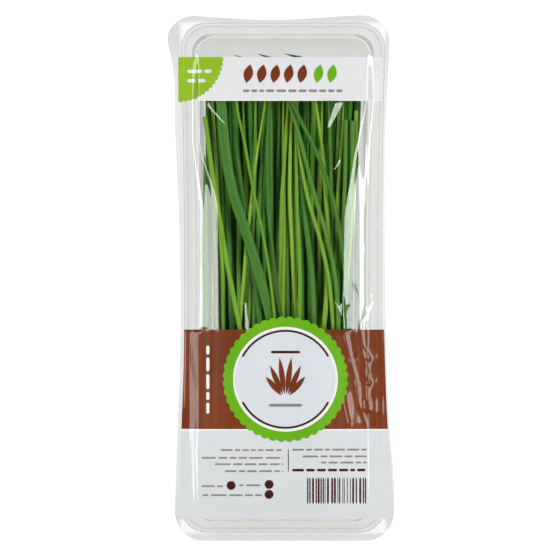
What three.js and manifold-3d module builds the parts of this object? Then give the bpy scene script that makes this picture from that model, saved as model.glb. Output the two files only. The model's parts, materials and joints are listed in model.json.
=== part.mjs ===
// Chive bunch: cut chive leaves lying in a clear thermoformed tray, closed by a printed lid film.
// Millimetres, +Z up. The origin is under the middle of the tray's floor, and +Y points to the
// end where most leaf tips lie.

import * as THREE from "three";
import { mergeVertices } from "three/addons/utils/BufferGeometryUtils.js";
import Module from "manifold-3d";

const wasm = await Module();
wasm.setup();

// Tray, measured over its rim. The walls lean in from a ledge to the floor.
const RIM_LENGTH = 250;
const RIM_WIDTH = 101;
const RIM_CORNER = 13;
const RIM_WAIST = 2; // how far each long side is drawn in at its middle
const TRAY_HEIGHT = 19;
const TRAY_WALL = 0.8;
const LIP_DEPTH = 2;
const SEAL_WIDTH = 6;
const STEP_DEPTH = 1.5;
const LEDGE_WIDTH = 2.3;
const WALL_DRAFT = 3;
const FLOOR_FILLET = 2.5;

// Lid film, sealed on the rim and standing out past it all round.
const FILM_LENGTH = 258;
const FILM_WIDTH = 106.5;
const FILM_CORNER = 15;
const FILM_WAIST = 2.6;
const FILM_THICKNESS = 0.5;
const FILM_CROWN = 3.2; // how far the leaves push the film up
const PEEL_TAB = 3; // how far the loose corner stands out sideways
const PEEL_TAB_LENGTHWAYS = 0.9;
const PEEL_TAB_REACH = 26; // how far from the corner the film is drawn out
const CLEARANCE = 0.3;

// Print on the film: panels across its width, and a scalloped seal.
const PRINT_THICKNESS = 0.5;
const PRINT_LEFT = -49;
const PRINT_RIGHT = 49;
const TOP_PANEL = [86.5, 108];
const BROWN_BAND = [-74, -25.5];
const INFO_PANEL = [-115, -74];
const PEEL_MARK_RADIUS = 23;
const SEAL_CENTRE = new THREE.Vector2(1.2, -49.8);
const SEAL_RADIUS = 30.2;
const SEAL_FACE_RADIUS = 25.5;
const SCALLOP_DEPTH = 1;
const SCALLOPS = 44;

// Leaves. Half widths and half heights are those of a leaf's oval section.
const LEAF_SIDES = 6;
const LEAF_SEGMENTS = 10;
const FLATNESS = 0.76; // half height over half width of an ordinary leaf
const LOWER_SEGMENTS = 5;
const LOWER_ROW = 20;
const LOWER_HALF = 1.75;
const LOWER_FLATNESS = 0.68;
const LOWER_REST = 1.25; // from the floor's clearance up to the lowest row's middle
const ROW_RISE = 2.75;
const LEVEL_ROW = 18;
const CROSSING_ROW = 5;
const LEAF_END = 110;
const TIP_SHARE = 0.35; // share of a leaf that tapers to its tip
const TIP_WIDTH = 0.35;
const THINNING = 0.86; // width at a leaf's far end over its width at the cut base
const SAG_RATE = 0.0006; // mm of sag over mm of distance squared

// How far each row spreads over the bunch's width, as a share of it.
const LOWER_SPREAD = 0.94;
const LEVEL_SPREAD = 0.98;
const CROSSING_SPREAD = 0.9;

const MATERIALS = {
  tray: { color: 0xe4e8e8, roughness: 0.15, transparent: true, opacity: 0.3 },
  film: { color: 0xf2f5f5, roughness: 0.1, transparent: true, opacity: 0.2 },
  white: { color: 0xe6e8ec, roughness: 0.35 },
  brown: { color: 0x6f3315, roughness: 0.35 },
  green: { color: 0x68b414, roughness: 0.35 },
  peelGreen: { color: 0x95bd22, roughness: 0.35 },
  deepLeaf: { color: 0x2f5a26, roughness: 0.5 },
  leaf: { color: 0x447a2c, roughness: 0.5 },
  brightLeaf: { color: 0x74a832, roughness: 0.45 },
};

const chives = new THREE.Group();

function addPiece(name, geometry, look) {
  const material = new THREE.MeshStandardMaterial({ metalness: 0, ...MATERIALS[look] });
  const mesh = new THREE.Mesh(geometry, material);
  mesh.name = name;
  chives.add(mesh);
}

// A repeatable draw from 0 to 1 for piece number index and quantity number kind.
function draw(index, kind) {
  const wave = Math.sin(index * 12.9898 + kind * 78.233) * 43758.5453;
  return wave - Math.floor(wave);
}

function between(low, high, share) {
  return low + (high - low) * share;
}

// Solids from triangles and back

function solidOf(geometry) {
  const bare = geometry.clone();
  bare.deleteAttribute("normal");
  bare.deleteAttribute("uv");
  const merged = mergeVertices(bare, 1e-4);
  return new wasm.Manifold(
    new wasm.Mesh({
      numProp: 3,
      vertProperties: merged.attributes.position.array,
      triVerts: new Uint32Array(merged.index.array),
    }),
  );
}

function geometryOf(solid) {
  const mesh = solid.getMesh();
  const geometry = new THREE.BufferGeometry();
  geometry.setAttribute("position", new THREE.BufferAttribute(mesh.vertProperties, 3));
  geometry.setIndex(new THREE.BufferAttribute(mesh.triVerts, 1));
  geometry.computeVertexNormals();
  return geometry;
}

// A closed skin over loops of equal length, with a fan of triangles over the first and last loop.
function skinOf(loops) {
  const count = loops[0].length;
  const positions = loops.flat().flatMap((p) => [p.x, p.y, p.z]);
  const indices = [];
  for (let row = 0; row + 1 < loops.length; row++)
    for (let i = 0; i < count; i++) {
      const here = row * count + i;
      const next = row * count + ((i + 1) % count);
      indices.push(here, next, next + count, here, next + count, here + count);
    }
  const last = (loops.length - 1) * count;
  for (let i = 1; i + 1 < count; i++) {
    indices.push(0, i + 1, i);
    indices.push(last, last + i, last + i + 1);
  }
  const geometry = new THREE.BufferGeometry();
  geometry.setAttribute("position", new THREE.Float32BufferAttribute(positions, 3));
  geometry.setIndex(indices);
  geometry.computeVertexNormals();
  return geometry;
}

// Outline of the rim and the film: a rounded rectangle whose long sides are drawn in

function drawnIn(x, y, halfWidth, halfLength, waist) {
  const share = 1 - (y / halfLength) ** 2;
  return new THREE.Vector2(x * (1 - (waist / halfWidth) * share), y);
}

function roundedOutline(width, length, corner, waist) {
  const CORNER_STEPS = 5;
  const LONG_STEPS = 6;
  const SHORT_STEPS = 3;
  const [halfWidth, halfLength] = [width / 2, length / 2];
  const [flatX, flatY] = [halfWidth - corner, halfLength - corner];
  const points = [];
  const signs = [[1, 1], [-1, 1], [-1, -1], [1, -1]];
  signs.forEach(([sx, sy], quarter) => {
    const centre = new THREE.Vector2(sx * flatX, sy * flatY);
    for (let i = 0; i <= CORNER_STEPS; i++) {
      const angle = (quarter + i / CORNER_STEPS) * (Math.PI / 2);
      points.push([centre.x + corner * Math.cos(angle), centre.y + corner * Math.sin(angle)]);
    }
    const [nextX, nextY] = signs[(quarter + 1) % 4];
    const steps = quarter % 2 ? LONG_STEPS : SHORT_STEPS;
    const [fromX, fromY] = points.at(-1);
    const endX = quarter % 2 ? fromX : nextX * flatX;
    const endY = quarter % 2 ? nextY * flatY : fromY;
    for (let i = 1; i < steps; i++)
      points.push([between(fromX, endX, i / steps), between(fromY, endY, i / steps)]);
  });
  return points.map(([x, y]) => drawnIn(x, y, halfWidth, halfLength, waist));
}

// Tray: one vacuum-formed sheet, followed from under its floor, out round the lip and back inside

function trayLoop(inset, z) {
  const corner = Math.max(RIM_CORNER - inset, 5);
  const outline = roundedOutline(RIM_WIDTH - 2 * inset, RIM_LENGTH - 2 * inset, corner, RIM_WAIST);
  return outline.map((p) => new THREE.Vector3(p.x, p.y, z));
}

const WALL_TOP_INSET = SEAL_WIDTH + LEDGE_WIDTH;
const WALL_FOOT_INSET = WALL_TOP_INSET + WALL_DRAFT;
const FLOOR_INSET = WALL_FOOT_INSET + FLOOR_FILLET;

function makeTray() {
  const underRim = TRAY_HEIGHT - TRAY_WALL;
  const ledge = TRAY_HEIGHT - STEP_DEPTH;
  const loops = [
    [FLOOR_INSET, 0],
    [WALL_FOOT_INSET - TRAY_WALL, FLOOR_FILLET],
    [WALL_TOP_INSET - TRAY_WALL, ledge - TRAY_WALL],
    [SEAL_WIDTH - TRAY_WALL, ledge - TRAY_WALL],
    [SEAL_WIDTH - TRAY_WALL, underRim],
    [TRAY_WALL, underRim],
    [TRAY_WALL, TRAY_HEIGHT - LIP_DEPTH],
    [0, TRAY_HEIGHT - LIP_DEPTH],
    [0, TRAY_HEIGHT],
    [SEAL_WIDTH, TRAY_HEIGHT],
    [SEAL_WIDTH + CLEARANCE, ledge],
    [WALL_TOP_INSET, ledge],
    [WALL_FOOT_INSET, FLOOR_FILLET + TRAY_WALL],
    [FLOOR_INSET, TRAY_WALL],
  ];
  addPiece("tray", skinOf(loops.map(([inset, z]) => trayLoop(inset, z))), "tray");
}

// Film height. It lies flat on the rim, and the leaves hold it up between two folds, which spread
// apart towards the tips.

const FOLD_LINE = [[-130, 33], [-20, 31], [30, 31.5], [86, 41], [130, 41]];
const CROWN_LINE = [
  [-130, 0], [-119, 0], [-100, 0.7], [-60, 1],
  [60, 1], [104, 0.7], [119, 0], [130, 0],
];
const COVER_EDGE = RIM_WIDTH / 2 - SEAL_WIDTH;

function onLine(line, y) {
  const i = line.findIndex(([at]) => at >= y);
  if (i <= 0) return line[Math.max(i, 0)][1];
  const [[fromY, from], [toY, to]] = [line[i - 1], line[i]];
  return between(from, to, (y - fromY) / (toY - fromY));
}

function filmRise(x, y) {
  const fold = onLine(FOLD_LINE, y);
  const slope = (COVER_EDGE - Math.abs(x)) / (COVER_EDGE - fold);
  return FILM_CROWN * onLine(CROWN_LINE, y) * Math.min(Math.max(slope, 0), 1);
}

// A slab that follows the film from one height above it to another, wider than the film itself.
const SLAB_ROWS = [-132, -119, -109, -100, -80, -60, -20, 30, 60, 86, 104, 112, 119, 132];
const SLAB_SIDE = 60;

function filmSlab(from, to) {
  const across = (y) => {
    const fold = onLine(FOLD_LINE, y);
    return [-SLAB_SIDE, -COVER_EDGE, -fold, 0, fold, COVER_EDGE, SLAB_SIDE];
  };
  const loops = SLAB_ROWS.map((y) => {
    const xs = across(y);
    const point = (x, rise) => new THREE.Vector3(x, y, TRAY_HEIGHT + rise + filmRise(x, y));
    return [...xs.map((x) => point(x, to)), ...xs.toReversed().map((x) => point(x, from))];
  });
  return solidOf(stripEnds(loops));
}

// A closed skin over thin bent sections: the upper and lower faces are divided alike, so that one
// level's underside fits the top of the level below it, and strips close the ends.
function stripEnds(loops) {
  const count = loops[0].length;
  const positions = loops.flat().flatMap((p) => [p.x, p.y, p.z]);
  const indices = [];
  for (let row = 0; row + 1 < loops.length; row++)
    for (let i = 0; i < count; i++) {
      const here = row * count + i;
      const next = row * count + ((i + 1) % count);
      if (i < count / 2) indices.push(here, next, next + count, here, next + count, here + count);
      else indices.push(here, next, here + count, next, next + count, here + count);
    }
  const last = (loops.length - 1) * count;
  for (let i = 0; i + 1 < count / 2; i++) {
    const across = count - 1 - i;
    indices.push(i, across, i + 1, i + 1, across, across - 1);
    indices.push(last + i, last + i + 1, last + across);
    indices.push(last + i + 1, last + across - 1, last + across);
  }
  const geometry = new THREE.BufferGeometry();
  geometry.setAttribute("position", new THREE.Float32BufferAttribute(positions, 3));
  geometry.setIndex(indices);
  return geometry;
}

function prismOf(outline) {
  const depth = 2 * TRAY_HEIGHT;
  return solidOf(new THREE.ExtrudeGeometry(new THREE.Shape(outline), { depth, bevelEnabled: false }));
}

const FILM_UNDER = CLEARANCE;
const FILM_TOP = FILM_UNDER + FILM_THICKNESS;
const PRINT_UNDER = FILM_TOP + CLEARANCE;
const PRINT_TOP = PRINT_UNDER + PRINT_THICKNESS;

// The film's corner over the peel mark stands out past the rest, as a tab to pull.
function filmOutline() {
  const outline = roundedOutline(FILM_WIDTH, FILM_LENGTH, FILM_CORNER, FILM_WAIST);
  const corner = new THREE.Vector2(-FILM_WIDTH / 2, FILM_LENGTH / 2 - FILM_CORNER / 2);
  return outline.map((p) => {
    const near = Math.max(0, 1 - p.distanceTo(corner) / PEEL_TAB_REACH);
    return new THREE.Vector2(p.x - PEEL_TAB * near, p.y + PEEL_TAB_LENGTHWAYS * near);
  });
}

function makeFilm() {
  const film = filmSlab(FILM_UNDER, FILM_TOP).intersect(prismOf(filmOutline()));
  addPiece("lid_film", geometryOf(film), "film");
}

// Print

function panelOutline([low, high], left = PRINT_LEFT, right = PRINT_RIGHT) {
  const corners = [[left, low], [right, low], [right, high], [left, high]];
  return corners.map(([x, y]) => new THREE.Vector2(x, y));
}

function scallopedOutline(centre, radius, scallops) {
  const STEPS = 3;
  const points = [];
  for (let i = 0; i < scallops * STEPS; i++) {
    const turn = i / STEPS;
    const bump = Math.abs(Math.sin(Math.PI * turn));
    const reach = radius - SCALLOP_DEPTH * (1 - bump);
    const angle = (turn / scallops) * 2 * Math.PI;
    const spoke = new THREE.Vector2(Math.cos(angle), Math.sin(angle));
    points.push(spoke.multiplyScalar(reach).add(centre));
  }
  return points;
}

function circleOutline(centre, radius) {
  const STEPS = 44;
  return Array.from({ length: STEPS }, (_, i) => {
    const angle = (i / STEPS) * 2 * Math.PI;
    const spoke = new THREE.Vector2(Math.cos(angle), Math.sin(angle));
    return spoke.multiplyScalar(radius).add(centre);
  });
}

// Each panel is cut clear of what is printed over it, so all of the print lies in one level. The
// seal is taller than the brown band and parts it in two.
function makePrint() {
  const level = filmSlab(PRINT_UNDER, PRINT_TOP);
  const peelCentre = new THREE.Vector2(PRINT_LEFT, TOP_PANEL[1]);
  const panel = (span, left, right) => prismOf(panelOutline(span, left, right));
  const scalloped = (centre, radius, count) => prismOf(scallopedOutline(centre, radius, count));
  const sealGap = scalloped(SEAL_CENTRE, SEAL_RADIUS + CLEARANCE, SCALLOPS);
  const peelScallops = Math.round((SCALLOPS * PEEL_MARK_RADIUS) / SEAL_RADIUS);
  const peelGap = scalloped(peelCentre, PEEL_MARK_RADIUS + CLEARANCE, peelScallops);
  const topPanel = panel(TOP_PANEL);
  const insets = ([low, high]) => [low + CLEARANCE / 2, high - CLEARANCE / 2];
  const brownSpan = insets(BROWN_BAND);
  const prints = {
    top_panel: [topPanel.subtract(peelGap), "white"],
    peel_mark: [
      topPanel.intersect(scalloped(peelCentre, PEEL_MARK_RADIUS, peelScallops)),
      "peelGreen",
    ],
    brown_band_left: [panel(brownSpan, PRINT_LEFT, SEAL_CENTRE.x).subtract(sealGap), "brown"],
    brown_band_right: [panel(brownSpan, SEAL_CENTRE.x, PRINT_RIGHT).subtract(sealGap), "brown"],
    info_panel: [panel(insets(INFO_PANEL)).subtract(sealGap), "white"],
    seal_ring: [
      scalloped(SEAL_CENTRE, SEAL_RADIUS, SCALLOPS).subtract(
        prismOf(circleOutline(SEAL_CENTRE, SEAL_FACE_RADIUS + CLEARANCE)),
      ),
      "green",
    ],
    seal_face: [prismOf(circleOutline(SEAL_CENTRE, SEAL_FACE_RADIUS)), "white"],
  };
  for (const [name, [outline, look]] of Object.entries(prints))
    addPiece(name, geometryOf(withoutCrumbs(level.intersect(outline))), look);
}

// The scallops can nip small crumbs off a panel's edge, which the real print doesn't have.
function withoutCrumbs(solid) {
  return solid.decompose().toSorted((a, b) => b.volume() - a.volume())[0];
}

// Leaves. A leaf knows where its middle runs across the tray, its ends, its half width, its
// flatness and whether it ends in a point. Every section lies square across the tray's length.

function leafWidth(leaf, y) {
  const along = (y - leaf.from) / (leaf.to - leaf.from);
  const left = leaf.pointed ? (1 - along) / TIP_SHARE : 1;
  const taper = Math.min(1, 1 - (1 - Math.min(left, 1)) ** 2);
  return Math.max(leaf.half * between(1, THINNING, along) * taper, TIP_WIDTH);
}

function leafHeight(leaf, y) {
  return Math.max(leafWidth(leaf, y) * leaf.flatness, TIP_WIDTH);
}

function stationsOf(leaf, segments) {
  return Array.from({ length: segments + 1 }, (_, i) => between(leaf.from, leaf.to, i / segments));
}

function heightAt(leaf, y) {
  const { stations, heights } = leaf;
  const i = Math.min(Math.max(stations.findIndex((at) => at >= y), 1), stations.length - 1);
  const share = (y - stations[i - 1]) / (stations[i] - stations[i - 1]);
  return between(heights[i - 1], heights[i], share);
}

function middleAt(leaf, y) {
  const { stations } = leaf;
  const i = Math.min(Math.max(stations.findIndex((at) => at >= y), 1), stations.length - 1);
  const share = (y - stations[i - 1]) / (stations[i] - stations[i - 1]);
  return between(leaf.middle(stations[i - 1]), leaf.middle(stations[i]), share);
}

// How high a leaf has to lie at y to clear the floor and the leaves that lie there already.
function clearHeight(leaf, y, placed) {
  const x = middleAt(leaf, y);
  const [halfWidth, halfHeight] = [leafWidth(leaf, y), leafHeight(leaf, y)];
  let height = TRAY_WALL + CLEARANCE + halfHeight;
  for (const other of placed) {
    if (y < other.from || y > other.to) continue;
    const reach = halfWidth + leafWidth(other, y) + CLEARANCE;
    const apart = Math.abs(x - middleAt(other, y));
    if (apart >= reach) continue;
    const rise = (halfHeight + leafHeight(other, y) + CLEARANCE) * Math.sqrt(1 - (apart / reach) ** 2);
    height = Math.max(height, heightAt(other, y) + rise);
  }
  return height;
}

// Lays a leaf on what is there: it rests on the highest points under it and sags between them.
function layLeaf(leaf, placed) {
  const FINE_STEPS = 72;
  leaf.stations = stationsOf(leaf, LEAF_SEGMENTS);
  const reach = (leaf.to - leaf.from) / LEAF_SEGMENTS;
  const fine = stationsOf(leaf, FINE_STEPS).map((y) => [y, clearHeight(leaf, y, placed)]);
  const needed = leaf.stations.map((at) =>
    Math.max(...fine.filter(([y]) => Math.abs(y - at) < reach).map(([, height]) => height)),
  );
  leaf.heights = leaf.stations.map((at) =>
    Math.max(...leaf.stations.map((y, i) => needed[i] - SAG_RATE * (at - y) ** 2)),
  );
  placed.push(leaf);
}

function leafLoops(leaf, segments) {
  return stationsOf(leaf, segments).map((y) => {
    const centre = new THREE.Vector3(leaf.middle(y), y, heightAt(leaf, y));
    const [halfWidth, halfHeight] = [leafWidth(leaf, y), leafHeight(leaf, y)];
    return Array.from({ length: LEAF_SIDES }, (_, side) => {
      const angle = (side / LEAF_SIDES) * 2 * Math.PI;
      const offset = new THREE.Vector3(halfWidth * Math.cos(angle), 0, halfHeight * Math.sin(angle));
      return centre.clone().add(offset);
    });
  });
}

function leafSolid(leaf, segments) {
  const loops = leafLoops(leaf, segments).map((loop) => loop.toReversed());
  return solidOf(skinOf(loops));
}

// Half the bunch's width along the tray. The leaves are pressed together at their cut ends.
const BUNCH_LINE = [[-130, 35.5], [-25, 35.5], [40, 36.5], [86, 40], [130, 41]];

// Where leaf number i of a row of count leaves lies across the bunch, from -spread to spread.
function placeInRow(i, count, spread) {
  return (i / count - 0.5) * 2 * spread;
}

// The two lower rows lie side by side and press into each other, so each row is one body.
function lowerRow(row) {
  return Array.from({ length: LOWER_ROW }, (_, i) => {
    const seed = 100 * (row + 1) + i;
    const place = placeInRow(i + (row ? 0.75 : 0.25), LOWER_ROW, LOWER_SPREAD);
    const leaf = {
      from: -LEAF_END + between(0, 3, draw(seed, 1)),
      to: LEAF_END - between(2, 16, draw(seed, 2)),
      half: LOWER_HALF,
      flatness: LOWER_FLATNESS,
      pointed: draw(seed, 3) < 0.4,
      middle: (y) => place * onLine(BUNCH_LINE, y),
    };
    leaf.stations = stationsOf(leaf, LOWER_SEGMENTS);
    leaf.heights = leaf.stations.map(() => TRAY_WALL + CLEARANCE + LOWER_REST + row * ROW_RISE);
    return leaf;
  });
}

// The next row lies nearly straight too, each leaf free of its neighbours.
function levelRow() {
  return Array.from({ length: LEVEL_ROW }, (_, i) => {
    const seed = 500 + i;
    const half = between(1.2, 1.6, draw(seed, 1));
    const place = placeInRow(i + 0.5, LEVEL_ROW, LEVEL_SPREAD);
    const lean = between(-0.4, 0.4, draw(seed, 2)) / LEAF_END;
    const bow = between(-0.4, 0.4, draw(seed, 3));
    return {
      from: -LEAF_END + between(0, 4, draw(seed, 4)),
      to: LEAF_END - between(1, 22, draw(seed, 5)),
      half,
      flatness: FLATNESS,
      pointed: draw(seed, 6) < 0.35,
      look: ["deepLeaf", "leaf", "leaf", "brightLeaf"][Math.floor(4 * draw(seed, 7))],
      middle: (y) => {
        const bowed = bow * Math.cos((y / LEAF_END) * (Math.PI / 2));
        return place * onLine(BUNCH_LINE, y) + lean * y + bowed;
      },
    };
  });
}

// A few more lie across that row at small angles.
function crossingRow() {
  return Array.from({ length: CROSSING_ROW }, (_, i) => {
    const seed = 700 + i;
    const half = between(1.1, 1.5, draw(seed, 1));
    const place = placeInRow(i + 0.5, CROSSING_ROW, CROSSING_SPREAD);
    const lean = between(-3, 3, draw(seed, 2)) / LEAF_END;
    return {
      from: -LEAF_END + between(0, 6, draw(seed, 4)),
      to: LEAF_END - between(2, 18, draw(seed, 5)),
      half,
      flatness: FLATNESS,
      pointed: draw(seed, 6) < 0.5,
      look: ["deepLeaf", "leaf", "brightLeaf"][Math.floor(3 * draw(seed, 7))],
      middle: (y) => place * onLine(BUNCH_LINE, y) + lean * y,
    };
  });
}

// The top leaves fan across the others. Each row gives the leaf's middle across the tray at five
// places along it, its half width, its flatness and its look.
const ROUTE_STEPS = 60;
const FAN_PLACES = [105, 50, 0, -50, -105];
const FAN = [
  { across: [-13, -14.2, -16, -18.5, -21], half: 1.35, look: "leaf" },
  { across: [-7.5, -10.6, -13.5, -15, -16], half: 1.3, look: "leaf" },
  { across: [-5, -8.5, -9.5, -10.5, -12], half: 1.3, look: "deepLeaf" },
  { across: [22, 23.3, 23.4, 21, 18], half: 1.5, look: "leaf" },
  { across: [31, 30.3, 28, 28, 28.5], half: 1.2, look: "deepLeaf" },
  { across: [37, 35, 31.5, 29.5, 29], half: 1.1, look: "brightLeaf", to: 82 },
  { across: [-36, -32.5, -29.6, -29.2, -29], half: 1, look: "brightLeaf" },
  { across: [5, 8.5, 14.4, 15, 13], half: 1.6, look: "leaf" },
  { across: [6, 3.2, 5.5, 9, 10], half: 1.2, look: "brightLeaf" },
  { across: [-25.5, -21.6, -14, -8, -6], half: 1.8, flatness: 0.5, look: "leaf" },
  { across: [31.6, 30.4, 27.6, 25, 23.5], half: 1.15, look: "leaf", to: 77.5 },
  { across: [34.8, 33.6, 30.6, 27.6, 26], half: 1.4, look: "leaf", to: 77 },
  { across: [13.5, 20.3, 22, 17, 12], half: 1.4, look: "brightLeaf" },
  { across: [-6, -14, -19.4, -22.6, -24.5], half: 0.95, look: "brightLeaf" },
  { across: [4, 0.2, -1.9, -1.5, -1], half: 1.25, look: "brightLeaf" },
  { across: [-6, -7.8, -4, 2, 4], half: 1.4, look: "leaf" },
  { across: [-42, -34.4, -26, -17, -13], half: 1.3, look: "brightLeaf", to: 79 },
  { across: [7, 6.6, 8.2, 8, 6.5], half: 1.1, look: "brightLeaf" },
  { across: [4, 9.8, 22.3, 25, 20], half: 1.15, look: "brightLeaf" },
  { across: [-2, 13, 25.7, 26, 21], half: 1.3, look: "leaf" },
  { across: [-6, 21, 30.5, 29, 25], half: 1.3, look: "leaf" },
  { across: [-31.5, -26.4, -11.3, 1, 7], half: 2.9, flatness: 0.3, look: "leaf" },
  { across: [-26, -15.8, -6.4, -2, 0], half: 0.85, look: "brightLeaf" },
];

function fanLeaf(row, i) {
  const seed = 900 + i;
  const places = FAN_PLACES.map((y, k) => new THREE.Vector3(row.across[k], y, 0));
  const route = new THREE.CatmullRomCurve3(places);
  const points = route.getPoints(ROUTE_STEPS).map((p) => [p.y, p.x]).toReversed();
  const [[firstY, firstX], [secondY, secondX]] = points;
  const slope = (secondX - firstX) / (secondY - firstY);
  const line = [...points, [LEAF_END, points.at(-1)[1]]];
  return {
    from: -LEAF_END + between(2, 8, draw(seed, 4)),
    to: row.to ?? LEAF_END - between(2, 8, draw(seed, 5)),
    half: row.half,
    flatness: row.flatness ?? FLATNESS,
    pointed: !row.to && draw(seed, 6) < 0.5,
    look: row.look,
    middle: (y) => (y < firstY ? firstX + slope * (y - firstY) : onLine(line, y)),
  };
}

function makeLeaves() {
  const placed = [];
  for (const [row, name] of ["lower_leaves", "upper_lower_leaves"].entries()) {
    const leaves = lowerRow(row);
    placed.push(...leaves);
    const joined = wasm.Manifold.union(leaves.map((leaf) => leafSolid(leaf, LOWER_SEGMENTS)));
    addPiece(name, geometryOf(joined), "deepLeaf");
  }
  const leaves = [...levelRow(), ...crossingRow(), ...FAN.map(fanLeaf)];
  leaves.forEach((leaf, i) => {
    layLeaf(leaf, placed);
    const name = "leaf_" + String(i + 1).padStart(2, "0");
    addPiece(name, geometryOf(leafSolid(leaf, LEAF_SEGMENTS)), leaf.look);
  });
}

makeTray();
makeLeaves();
makeFilm();
makePrint();

export default chives;
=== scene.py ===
import json
import math

import bpy
import numpy as np
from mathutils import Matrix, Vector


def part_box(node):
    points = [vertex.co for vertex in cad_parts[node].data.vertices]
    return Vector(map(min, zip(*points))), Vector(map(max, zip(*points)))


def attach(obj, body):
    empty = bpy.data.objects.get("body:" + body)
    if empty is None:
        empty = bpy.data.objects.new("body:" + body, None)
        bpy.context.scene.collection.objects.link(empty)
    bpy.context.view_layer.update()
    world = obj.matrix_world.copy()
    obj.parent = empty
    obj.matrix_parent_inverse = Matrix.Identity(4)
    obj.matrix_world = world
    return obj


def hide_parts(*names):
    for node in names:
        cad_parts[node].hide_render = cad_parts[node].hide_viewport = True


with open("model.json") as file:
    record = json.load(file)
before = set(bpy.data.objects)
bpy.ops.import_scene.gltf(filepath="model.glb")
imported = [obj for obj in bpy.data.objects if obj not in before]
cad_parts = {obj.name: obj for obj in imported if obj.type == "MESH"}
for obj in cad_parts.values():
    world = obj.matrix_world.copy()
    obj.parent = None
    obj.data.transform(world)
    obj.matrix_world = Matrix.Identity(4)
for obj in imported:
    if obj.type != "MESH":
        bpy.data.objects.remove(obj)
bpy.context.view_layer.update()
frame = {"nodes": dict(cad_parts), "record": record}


# Tray. One sheet of clear plastic, vacuum-formed over a mould: a turned-down lip, a flat rim for
# the film, a shallow step with a ledge, sloping walls and a flat floor. It only stands on the
# surface, and everything else lies in it or is sealed on it.

MM = 0.001
RIM_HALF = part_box("tray")[1]
RIM_TOP = RIM_HALF[2] / MM
RIM_HALF_WIDTH = 50.5
RIM_HALF_LENGTH = RIM_HALF[1] / MM
RIM_CORNER = 13
RIM_WAIST = 2
CORNER_STEPS = 9
SIDE_STEPS = 16
TRAY_SHEET = 0.45
LIP_DEPTH = 2
GROOVE_IN = 2
GROOVE_HALF = 0.4
GROOVE_DEPTH = 0.35
SEAL_WIDTH = 6
STEP_FOOT = 6.5
STEP_DEPTH = 1.5
LEDGE_END = 8.3
WALL_FOOT = 11.4
FLOOR_IN = 19
BEND_RADII = [0.6, 0.2, 0.25, 0.2, 0.5, 0.4, 0.8, 3.2]
TRAY_CLEAR = (0.966, 0.966, 0.958, 1)
RIM_HAZE = 0.04
# Painted shade: grey that darkens the tray's floor, walls and bends, most at the step's corners.
FLOOR_SHADE = 1
WALL_SHADE = 0.9
WALL_RINGS = (8.4, 11)
BEND_SHADE = 3.5
SHARP_BEND = 2
SHORTEST_STRETCH = 0.05
CORNER_SHADE = 2.5
CORNER_START = (37, 108)
CORNER_FADE = 6
STEP_RINGS = (5.6, 7.6)
GLOSS_COLOR = (0.95, 0.96, 0.96, 1)
HAZE_AND_SHADE_COLOR = (0.4, 0.41, 0.41, 1)
HAZE_AND_SHADE_UNEVEN = 0.4


class Tone:
    """One shader socket. Sums on it add Math nodes."""

    def __init__(self, surface, socket):
        self.surface = surface
        self.socket = socket

    def sum(self, operation, first, second):
        return self.surface.node("Math", {"operation": operation}, {0: first, 1: second})

    def __add__(self, other):
        return self.sum("ADD", self, other)

    def __radd__(self, other):
        return self.sum("ADD", other, self)

    def __sub__(self, other):
        return self.sum("SUBTRACT", self, other)

    def __rsub__(self, other):
        return self.sum("SUBTRACT", other, self)

    def __mul__(self, other):
        return self.sum("MULTIPLY", self, other)

    def __rmul__(self, other):
        return self.sum("MULTIPLY", other, self)

    def __pow__(self, other):
        return self.sum("POWER", self, other)


class Surface:
    """A material that is put together node by node."""

    def __init__(self, name):
        self.material = bpy.data.materials.new(name)
        self.material.use_nodes = True
        self.tree = self.material.node_tree
        self.tree.nodes.clear()

    def node(self, kind, settings=None, sockets=None, output=0):
        node = self.tree.nodes.new("ShaderNode" + kind)
        for key, value in (settings or {}).items():
            setattr(node, key, value)
        for key, value in (sockets or {}).items():
            if isinstance(value, Tone):
                self.tree.links.new(value.socket, node.inputs[key])
            else:
                node.inputs[key].default_value = value
        return Tone(self, node.outputs[output])

    def clamp(self, value, low, high):
        """How far value is on its way from low to high, from 0 to 1, with soft ends."""
        settings = {"interpolation_type": "SMOOTHSTEP"}
        return self.node("MapRange", settings, {0: value, 1: low, 2: high})

    def blend(self, share, first, second):
        """A colour between two others."""
        settings = {"data_type": "RGBA"}
        return self.node("Mix", settings, {0: share, 6: first, 7: second}, output=2)

    def noise(self, vector, scale, detail=2):
        return self.node("TexNoise", {}, {"Vector": vector, "Scale": scale, "Detail": detail})

    def attribute(self, name, output="Fac"):
        return self.node("Attribute", {"attribute_name": name}, output=output)

    def bump(self, height, strength, distance):
        sockets = {"Strength": strength, "Distance": distance, "Height": height}
        return self.node("Bump", {}, sockets)

    def done(self, shader):
        output = self.tree.nodes.new("ShaderNodeOutputMaterial")
        self.tree.links.new(shader.socket, output.inputs["Surface"])
        return self.material


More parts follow.
